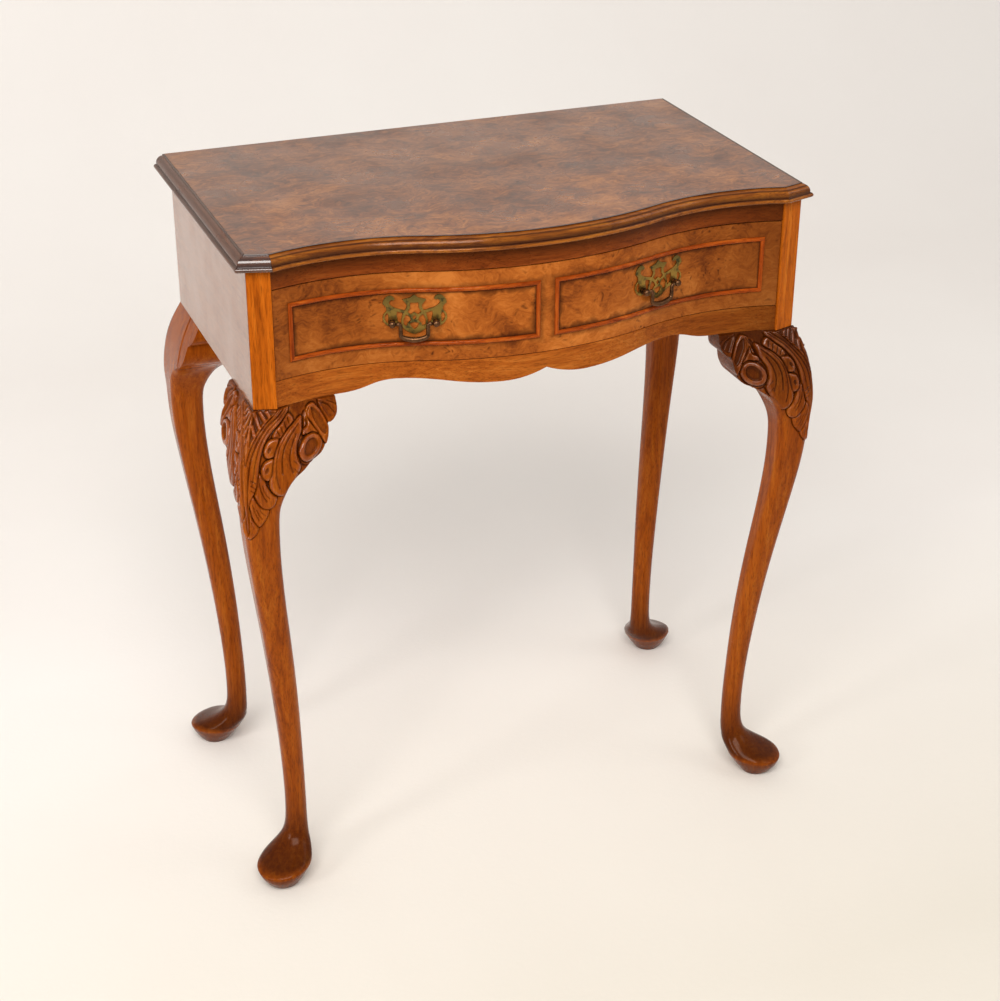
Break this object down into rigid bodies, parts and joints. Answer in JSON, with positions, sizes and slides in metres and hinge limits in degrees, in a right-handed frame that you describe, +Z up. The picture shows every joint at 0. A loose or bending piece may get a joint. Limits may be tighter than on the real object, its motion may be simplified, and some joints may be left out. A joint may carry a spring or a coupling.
{
  "type": "serpentine side table with drawer",
  "caption": "Burr walnut side table with a serpentine front, a long sliding drawer dressed as twin beaded panels, pierced brass drop handles and carved cabriole legs on pad feet",
  "frame": {"origin": "on the floor, under the middle of the table's bounding box", "axes": "+Z up, +X to the right of someone facing the drawer, -Y out of the drawer front"},
  "size_m": [0.67, 0.3866, 0.76],
  "materials": {
    "burr_walnut_top": "polished burr veneer",
    "burr_walnut_front": "polished burr veneer",
    "moulding_walnut": "polished, dark in the hollows",
    "case_walnut": "polished straight-grained walnut",
    "bead_walnut": "polished reddish walnut",
    "leg_walnut": "polished, carved on the front knees",
    "carcase_wood": "plain unpolished pine or oak",
    "plate_brass": "aged cast brass",
    "handle_bronze": "dark patinated brass",
    "screw_steel": "plain steel"
  },
  "bodies": {
    "table": {"top_panel": "burr_walnut_top", "top_moulding_front": "moulding_walnut", "top_moulding_left": "moulding_walnut", "top_moulding_right": "moulding_walnut", "top_moulding_corner_left": "moulding_walnut", "top_moulding_corner_right": "moulding_walnut", "side_panel_left": "case_walnut", "side_panel_right": "case_walnut", "back_panel": "carcase_wood", "corner_stile_left": "case_walnut", "corner_stile_right": "case_walnut", "top_rail": "case_walnut", "apron": "case_walnut", "drawer_runner_left": "carcase_wood", "drawer_runner_right": "carcase_wood", "drawer_guide_left": "carcase_wood", "drawer_guide_right": "carcase_wood", "drawer_stop_left": "carcase_wood", "drawer_stop_right": "carcase_wood", "kicker_left": "carcase_wood", "kicker_right": "carcase_wood", "corner_block_front_left": "carcase_wood", "corner_block_front_right": "carcase_wood", "corner_block_back_left": "carcase_wood", "corner_block_back_right": "carcase_wood", "top_screws": "screw_steel", "leg_front_left": "leg_walnut", "leg_front_right": "leg_walnut", "leg_back_left": "leg_walnut", "leg_back_right": "leg_walnut", "ear_front_left_inner": "leg_walnut", "ear_front_left_side": "leg_walnut", "ear_front_right_inner": "leg_walnut", "ear_front_right_side": "leg_walnut", "ear_back_left_inner": "leg_walnut", "ear_back_left_side": "leg_walnut", "ear_back_right_inner": "leg_walnut", "ear_back_right_side": "leg_walnut", "leg_dowels": "carcase_wood"},
    "drawer": {"drawer_front": "burr_walnut_front", "drawer_side_left": "carcase_wood", "drawer_side_right": "carcase_wood", "drawer_back": "carcase_wood", "drawer_bottom": "carcase_wood", "bead_left_top": "bead_walnut", "bead_left_bottom": "bead_walnut", "bead_left_inner": "bead_walnut", "bead_left_outer": "bead_walnut", "bead_right_top": "bead_walnut", "bead_right_bottom": "bead_walnut", "bead_right_inner": "bead_walnut", "bead_right_outer": "bead_walnut", "handle_plate_left": "plate_brass", "handle_plate_right": "plate_brass", "handle_posts_left": "handle_bronze", "handle_posts_right": "handle_bronze", "handle_nuts": "plate_brass"},
    "bail_left": {"bail_left": "handle_bronze"},
    "bail_right": {"bail_right": "handle_bronze"}
  },
  "joints": [
    {"name": "drawer_slide", "type": "slide", "parent": "table", "child": "drawer", "axis": [0, -1, 0], "range_m": [0, 0.2]},
    {"name": "bail_left_hinge", "type": "hinge", "parent": "drawer", "child": "bail_left", "pos_m": [-0.13957, -0.16443, 0.6686], "axis": [-0.9543, 0.2988, 0], "range_deg": [0, 95]},
    {"name": "bail_right_hinge", "type": "hinge", "parent": "drawer", "child": "bail_right", "pos_m": [0.13957, -0.16443, 0.6686], "axis": [-0.9543, -0.2988, 0], "range_deg": [0, 95]}
  ]
}
